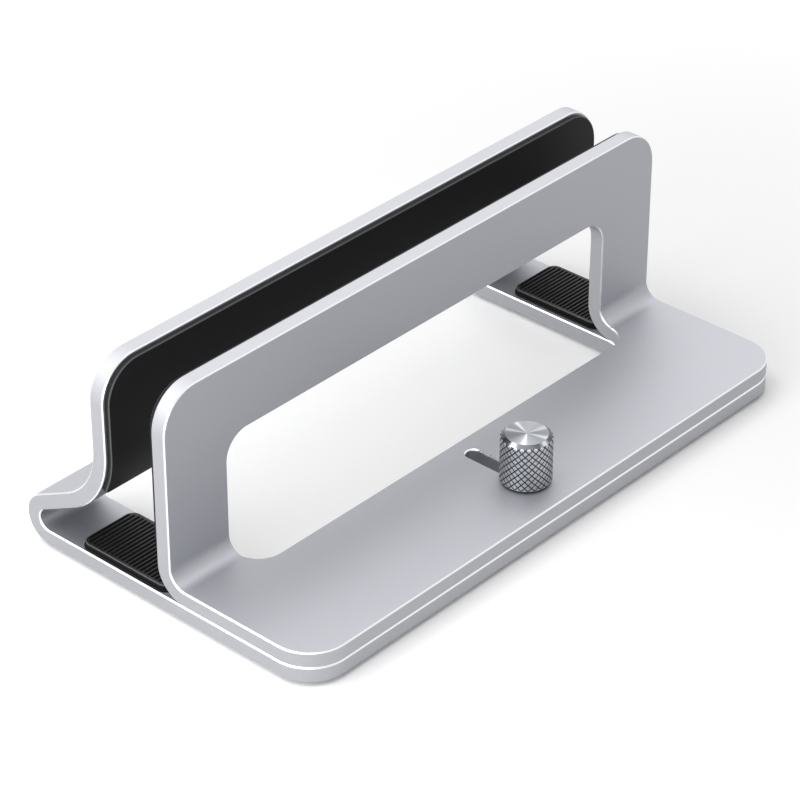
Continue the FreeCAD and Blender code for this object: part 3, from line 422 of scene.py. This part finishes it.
def makeKnob():
    # A turned shape: each ring's points lie r * cos(turn) and r * sin(turn) from the axis, with r
    # the profile's radius less the depth of the knurl.
    s, f = knobShape, knobFinish
    low, high = (np.array(corner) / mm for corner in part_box("knob"))
    axis = (low + high) / 2
    radius, height = (high[0] - low[0]) / 2, high[2] - low[2]
    topRadius = radius - s["topChamferWidth"]
    profile, firstSide, afterSide = knobProfile(radius, height, topRadius)
    columns = s["starts"] * s["stepsPerDiamond"]
    a = np.arange(columns + 1) / s["stepsPerDiamond"]
    b = (profile[:, 1] - s["footChamfer"]) / s["rowHeight"]
    cut, depth = knurlDepth(a, b)

    # The side stays inside the cones of the bevel and of the foot's chamfer.
    bevelRadius = topRadius + (height - profile[:, 1]) * s["topChamferWidth"] / s["topChamferHeight"]
    footRadius = radius - s["footChamfer"] + profile[:, 1]
    limit = np.minimum(bevelRadius, footRadius)[:, None]
    r = np.repeat(profile[:, :1], columns + 1, 1)
    r[firstSide:afterSide] = np.minimum(radius - depth, limit)[firstSide:afterSide]
    turn = a * 2 * np.pi / s["starts"]
    x = axis[0] + r * np.cos(turn)
    y = axis[1] + r * np.sin(turn)
    z = np.repeat((low[2] + profile[:, 1])[:, None], columns + 1, 1)
    points = np.stack([x, y, z], -1) * mm

    # Each quad of the side is cut along the groove that crosses it, so creases stay straight.
    quads = gridFaces(len(profile), columns + 1)
    rowOf, columnOf = np.divmod(np.arange(len(quads)), columns)
    lastSide = afterSide - 1
    onSide = (rowOf >= firstSide) & (rowOf < lastSide)
    even = (rowOf - firstSide + columnOf) % 2 == 0
    rising = quads[onSide & even]
    falling = quads[onSide & ~even]
    triangles = np.concatenate([rising[:, [0, 1, 2]], rising[:, [0, 2, 3]],
                                falling[:, [0, 1, 3]], falling[:, [1, 2, 3]]])

    # Materials by number: 0 the turned skin, 1 the grooves, darkened as painted shade, 2 the bevel with
    # its edge, 3 the top, both with painted highlight rays
    plain = rowOf[~onSide]
    kind = np.where(plain < lastSide, 0, np.where(plain < lastSide + 2, 2, 3))
    inGroove = cut.ravel()[triangles].max(1) > 1e-6
    kinds = np.concatenate([kind, inGroove.astype(int)])
    rise = b[:, None] / 10 + r / radius  # only has to change from ring to ring
    uv = np.stack(np.broadcast_arrays(a[None, :] / s["starts"], rise), -1)
    faces = quads[~onSide].tolist() + triangles.tolist()
    knob = meshObject("knurled_knob", points, faces, s["smoothAngle"], kinds, uv)
    middle = (axis[0] * mm, axis[1] * mm, 0)
    setMaterials(
        knob,
        turnedMaterial("knurledTurnedAluminium", f["aluminium"], f["sideRoughness"]),
        turnedMaterial("knurlGroovePaintedShade", f["groove"], f["grooveRoughness"]),
        spunMaterial("turnedBevelPaintedHighlights", f["bevel"], f["bevelPaintedHighlights"], middle, f["bevelRoughness"]),
        spunMaterial("spunFacePaintedHighlights", f["spun"], f["spunPaintedHighlights"], middle, f["spunRoughness"],
                     f["spunAnisotropy"]),
    )
    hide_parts("knob")
    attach(knob, "clamp_knob")


# Ribbed rubber pads under the laptop
restShape = {
    "footHeight": 0.7,  # mm, the wider step that is stuck to the base
    "footBreak": 0.1,
    "step": 0.45,
    "cornerRadius": 3.3,
    "rimRadius": 0.25,
    "rimRows": 5,
    "border": (1.3, 0.8),  # flat edge beside the ribs, and before the first of them
    "borderFade": 0.25,  # over which the gaps run out at the border
    "ribPitch": 1.4,
    "gapWidth": 0.72,
    "gapDepth": 0.9,
    "flank": 0.16,  # half the width over which a rib's side falls
    "ribRows": 14,  # rows of the grid for each rib
    "cornerRows": 36,
    "columns": 56,
    "endCrowding": 1.6,  # above 1 the columns stand closer together near both sides
    "smoothAngle": 40,  # degrees
}


def padOutline(half, inset, straight):
    # Right side of a rounded rectangle from its low end to its high end: corner, side, corner. In
    # a corner the points lie radius * sin(q) outwards and radius * (1 - cos(q)) along, for q from
    # 0 to 90 degrees. half is half the pad's width and length, and straight holds the places of
    # the side's rows as shares from -1 to 1. The last value is half the straight ends' width.
    s = restShape
    halfWidth, halfLength = half - inset
    radius = s["cornerRadius"] - inset
    quarter = np.linspace(0, np.pi / 2, s["cornerRows"])
    cornerX = halfWidth - radius + radius * np.sin(quarter)
    cornerY = radius * (1 - np.cos(quarter))
    sideY = straight * (halfLength - radius)
    x = np.concatenate([cornerX[:-1], np.full(len(straight), halfWidth), cornerX[::-1][1:]])
    y = np.concatenate([-halfLength + cornerY[:-1], sideY, halfLength - cornerY[::-1][1:]])
    return x, y, halfWidth - radius


def padCap(half, inset, z, straight, spread):
    # A grid over the outline: x is the outline's own in that row, times a share from -1 to 1.
    x, y, _ = padOutline(half, inset, straight)
    grid = np.zeros((len(y), len(spread), 3))
    grid[..., 0] = x[:, None] * spread[None, :]
    grid[..., 1] = y[:, None]
    grid[..., 2] = z
    return grid


def padSkirt(half, levels, straight, spread):
    # One loop for each level: up the right side, along the high end, down and back.
    loops = []
    for inset, z in levels:
        x, y, halfEnd = padOutline(half, inset, straight)
        end = spread * halfEnd
        highEnd, lowEnd = np.full(len(end) - 2, y[-1]), np.full(len(end) - 2, y[0])
        xs = np.concatenate([x, end[::-1][1:-1], -x[::-1], end[1:-1], x[:1]])
        ys = np.concatenate([y, highEnd, y[::-1], lowEnd, y[:1]])
        loops.append(np.stack([xs, ys, np.full(len(xs), z)], -1))
    return np.array(loops)


def smoothStep(t):
    # 3 t^2 - 2 t^3, with t kept from 0 to 1
    t = np.clip(t, 0, 1)
    return t * t * (3 - 2 * t)


def ribGaps(x, y, half):
    # How far the skin lies below the ribs. The gaps come once every pitch along Y, with flanks
    # that fall as a smooth step, and end inside the border at a rounded rectangle. With q the
    # distance past its corners' centres on each axis, the distance outside it is the length of
    # the parts of q above 0, plus the larger part if both are below 0, minus its radius.
    s = restShape
    radius = s["cornerRadius"] - s["border"][0] + s["gapWidth"]
    centre = half - s["border"] - radius
    qx, qy = np.abs(x) - centre[0], np.abs(y) - centre[1]
    outside = np.hypot(np.maximum(qx, 0), np.maximum(qy, 0)) - radius
    outside += np.minimum(np.maximum(qx, qy), 0)
    fromGap = np.abs(y / s["ribPitch"] - np.round(y / s["ribPitch"])) * s["ribPitch"]
    inGap = smoothStep((s["gapWidth"] / 2 + s["flank"] - fromGap) / (2 * s["flank"]))
    return s["gapDepth"] * inGap * smoothStep(-outside / s["borderFade"])


def makeRestPad(node, body):
    # A ribbed top and a flat underside, with a stepped skirt between them that rounds the rim.
    s = restShape
    low, high = (np.array(corner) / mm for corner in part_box(node))
    middle = (low + high) / 2
    half, height = (high - low)[:2] / 2, high[2] - low[2]
    rowCount = round(2 * (half[1] - s["cornerRadius"]) / s["ribPitch"] * s["ribRows"])
    straight = np.linspace(-1, 1, rowCount)
    spread = np.linspace(-1, 1, s["columns"])
    spread = np.sign(spread) * (1 - (1 - np.abs(spread)) ** s["endCrowding"])

    # How far in from the outline, and how high
    rim = s["rimRadius"]
    levels = [(0.0, 0.0), (0.0, s["footHeight"] - s["footBreak"]), (s["footBreak"], s["footHeight"]),
              (s["step"], s["footHeight"])]
    bandsBelowRim = len(levels)
    quarter = np.linspace(0, np.pi / 2, s["rimRows"])
    levels += [(s["step"] + rim * (1 - math.cos(q)), height - rim + rim * math.sin(q)) for q in quarter]
    skirt = padSkirt(half, levels, straight, spread)
    top = padCap(half, levels[-1][0], height, straight, spread)
    top[..., 2] -= ribGaps(top[..., 0], top[..., 1], half)
    bottom = padCap(half, 0.0, 0.0, straight, spread)

    rows, columns = top.shape[:2]
    topFaces = gridFaces(rows, columns)
    bottomFaces = gridFaces(rows, columns, first=rows * columns)[:, ::-1]
    sides = gridFaces(*skirt.shape[:2], first=2 * rows * columns)
    band = np.arange(len(sides)) // (skirt.shape[1] - 1)
    faces = np.concatenate([topFaces, bottomFaces, sides]).tolist()
    points = np.concatenate([grid.reshape(-1, 3) for grid in (top, bottom, skirt)])
    points = (points + [middle[0], middle[1], low[2]]) * mm

    # Materials by number: 0 the top and the underside, 1 the sides, darker as painted shade, 2 the rim,
    # grey as a painted highlight
    kinds = np.concatenate([np.zeros(2 * len(topFaces), int), np.where(band < bandsBelowRim, 1, 2)])
    pad = meshObject("ribbed_" + node, points, faces, s["smoothAngle"], kinds)
    setMaterials(pad, ribbedRubber, paintedShadeSideRubber, paintedHighlightRimRubber)
    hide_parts(node)
    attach(pad, body)


# M4 thread of the clamp stud
studShape = {
    "pitch": 0.7,  # mm
    "depth": 0.36,
    "flat": 0.1,  # share of the pitch that is flat, at the crest and at the root
    "endChamfer": 0.4,
    "columns": 48,
    "rowsPerTurn": 10,
    "smoothAngle": 40,  # degrees
}


def makeStud():
    # A helical thread: the radius falls and rises once for each pitch along the axis, and the
    # whole pattern climbs one pitch for each turn. With t the share of the pitch that is reached,
    # z / pitch - turn / 360 degrees, the skin lies depth * (|2t - 1| - flat) / (1 - 2 flat) deep.
    s = studShape
    low, high = (np.array(corner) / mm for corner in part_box("clamp_stud"))
    axis = (low + high) / 2
    radius, length = (high[0] - low[0]) / 2, high[2] - low[2]
    z = np.linspace(0, length, round(length / s["pitch"] * s["rowsPerTurn"]))
    turn = np.linspace(0, 2 * np.pi, s["columns"] + 1)
    along = (z[:, None] / s["pitch"] - turn[None, :] / (2 * np.pi)) % 1
    r = radius - s["depth"] * np.clip((np.abs(2 * along - 1) - s["flat"]) / (1 - 2 * s["flat"]), 0, 1)
    fromEnd = np.minimum(z, length - z)[:, None]
    r = np.minimum(r, radius - s["endChamfer"] + fromEnd)
    r = np.pad(r, ((1, 1), (0, 0)))  # closed by a ring of radius 0 at each end
    z = np.concatenate([[0], z, [length]])
    points = np.stack([axis[0] + r * np.cos(turn), axis[1] + r * np.sin(turn),
                       np.repeat((low[2] + z)[:, None], s["columns"] + 1, 1)], -1) * mm
    stud = meshObject("threaded_stud", points, gridFaces(*r.shape).tolist(), s["smoothAngle"])
    setMaterials(stud, zincSteel)
    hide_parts("clamp_stud")
    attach(stud, "clamp_knob")


# Folds of the two sheets, which say where each lies flat and where it surely stands upright
foldShape = {
    "sheet": 4.75,  # mm thick
    "frontRadius": 5.0,  # inside the front bracket's bend
    "rearRadius": 3.2,  # inside the rear bracket's fold
    "flatTop": 1.1,  # in thicknesses, just over the sheet that lies flat
    "rearWall": 25.0,  # from the top down, where the rear wall and its pad are straight
}


def foldZones():
    # The places that faceMasks wants, in metres: front bracket, rear bracket and rear pad.
    s = foldShape
    frontLow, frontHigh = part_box("front_bracket")
    rearLow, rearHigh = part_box("rear_bracket")
    sheet, frontRadius, rearRadius = s["sheet"] * mm, s["frontRadius"] * mm, s["rearRadius"] * mm
    rearWallStart = rearHigh.z - s["rearWall"] * mm
    front = {"flatEnd": frontHigh.y - sheet - frontRadius, "flatTop": frontLow.z + s["flatTop"] * sheet,
             "wallStart": frontLow.z + sheet + frontRadius}
    rear = {"flatEnd": rearHigh.y - sheet - rearRadius, "flatTop": rearLow.z + s["flatTop"] * sheet,
            "wallStart": rearWallStart}
    pad = {"flatEnd": rearLow.y, "flatTop": 0.0, "wallStart": rearWallStart}  # never lies flat
    return front, rear, pad


def finishCadPieces():
    front, rear, pad = foldZones()
    setMaterials(nodes["front_bracket"], sheetMaterial("blastedAnodisedAluminiumFront", front))
    setMaterials(nodes["rear_bracket"], sheetMaterial("blastedAnodisedAluminiumRear", rear))
    setMaterials(nodes["rear_pad"], padMaterial("mattSiliconeRearPad", pad))
    setMaterials(nodes["front_pad"], padMaterial("mattSiliconeFrontPad", {**pad, "wallStart": 0.0}))
    for name in ("foot_front_left", "foot_front_right", "foot_rear_left", "foot_rear_right"):
        setMaterials(nodes[name], footRubber)
    for name in ("clamp_nut", "guide_pin_left", "guide_pin_right"):
        setMaterials(nodes[name], zincSteel)
    setMaterials(nodes["knob_washer"], washerNylon)


finishCadPieces()
makeRestPad("rest_pad_left", "base")
makeRestPad("rest_pad_right", "base")
makeKnob()
makeStud()
print("pieces made")

# Camera, as the photograph was taken
view = {
    "azimuth": -47.974,  # degrees, 0 looks along +Y
    "elevation": 32.789,
    "roll": 0.05,
    "distance": 894.7,  # mm
    "target": (-5.32, 2.475, 21.2),
    "focal": 3209.0,  # pixels, for a picture 800 pixels wide
    "pictureWidth": 800.0,
    "sensor": 36.0,
}


def makeCamera():
    v = view
    azimuth, elevation = math.radians(v["azimuth"]), math.radians(v["elevation"])
    back = Vector((math.cos(elevation) * math.sin(azimuth),
                   -math.cos(elevation) * math.cos(azimuth), math.sin(elevation)))
    place = (Vector(v["target"]) + back * v["distance"]) * mm
    data = bpy.data.cameras.new("photoCamera")
    data.sensor_width = v["sensor"]
    data.lens = v["focal"] / v["pictureWidth"] * v["sensor"]
    data.clip_start = 0.01
    data.clip_end = 50
    camera = bpy.data.objects.new("photoCamera", data)
    bpy.context.scene.collection.objects.link(camera)
    turn = (-back).to_track_quat("-Z", "Y").to_matrix().to_4x4()
    roll = Matrix.Rotation(math.radians(v["roll"]), 4, "Z")
    camera.matrix_world = Matrix.Translation(place) @ turn @ roll
    bpy.context.scene.camera = camera


makeCamera()

# Studio: white floor and room, lit by softboxes
studio = {
    "floorSize": 8.0,  # metres
    "floor": "#F6F6F6",
    "room": "#FCFCFD",
    "glowStart": 0.12,  # metres from the middle, where the floor begins to fade into the white room
    "glowEnd": 0.6,
    "glow": (0.13, 0.5),  # near the stand, and far off
}
softboxes = {
    # name: (turn round the stand from +X, height angle, distance in metres, size, power in watts)
    "backLeft": (137, 50, 1.3, 1.3, 7.0),
    "backRight": (42, 35, 1.3, 1.3, 3.1),
    "top": (0, 89, 1.3, 1.6, 12.5),
    "nearLeft": (200, 18, 0.42, 0.3, 0.55),
    "nearLeftBack": (172, 26, 0.4, 0.32, 0.5),
}


def raysThatShow(tree):
    # 1 for rays that show a background itself: into the camera, off metal or through glass. The
    # light that falls on matt surfaces is left to the softboxes.
    rays = addNode(tree, "LightPath").outputs
    shows = rays["Is Camera Ray"]
    for kind in ("Is Glossy Ray", "Is Transmission Ray"):
        shows = addNode(tree, "Math", {"operation": "MAXIMUM"}, {0: shows, 1: rays[kind]}).outputs[0]
    return shows


def makeFloor():
    # Far from the stand the floor fades into the white room, and near it it keeps the shadow.
    corners = np.array([(-1, -1, 0), (1, -1, 0), (1, 1, 0), (-1, 1, 0)]) * studio["floorSize"] / 2
    floor = meshObject("studioFloor", corners, [(0, 1, 2, 3)])
    material, tree, shader = newMaterial("mattWhiteFloor")
    place = addNode(tree, "TexCoord")
    away = addNode(tree, "VectorMath", {"operation": "LENGTH"}, {0: place.outputs["Object"]})
    fade = addNode(tree, "MapRange", {"interpolation_type": "SMOOTHSTEP"}, {
        "Value": away.outputs["Value"], "From Min": studio["glowStart"], "From Max": studio["glowEnd"],
        "To Min": studio["glow"][0], "To Max": studio["glow"][1]})
    glow = addNode(tree, "Math", {"operation": "MULTIPLY"}, {
        0: fade.outputs["Result"], 1: raysThatShow(tree)})
    setInputs(tree, shader, {
        "Base Color": hexToLinear(studio["floor"]), "Roughness": 0.9, "Specular IOR Level": 0.0,
        "Emission Color": hexToLinear(studio["room"]), "Emission Strength": glow.outputs[0]})
    setMaterials(floor, material)


def makeSoftbox(name, turn, rise, distance, size, power):
    # a square lamp that faces the stand
    turn, rise = math.radians(turn), math.radians(rise)
    position = distance * Vector((math.cos(rise) * math.cos(turn),
                                  math.cos(rise) * math.sin(turn), math.sin(rise)))
    data = bpy.data.lights.new(name, "AREA")
    data.shape = "SQUARE"
    data.size = size
    data.energy = power
    lamp = bpy.data.objects.new(name, data)
    bpy.context.scene.collection.objects.link(lamp)
    lamp.location = position
    lamp.rotation_mode = "QUATERNION"
    lamp.rotation_quaternion = (-position).to_track_quat("-Z", "Y")


def makeRoom():
    # A white room, seen by the camera and in the metal
    world = bpy.data.worlds.new("whiteRoom")
    world.use_nodes = True
    tree = world.node_tree
    tree.nodes.clear()
    room = addNode(tree, "Background", inputs={
        "Color": hexToLinear(studio["room"]), "Strength": raysThatShow(tree)})
    addNode(tree, "OutputWorld", inputs={"Surface": room.outputs["Background"]})
    bpy.context.scene.world = world


makeFloor()
for name, values in softboxes.items():
    makeSoftbox(name, *values)
makeRoom()
bpy.context.scene.view_settings.view_transform = "Standard"
print("camera and studio made")
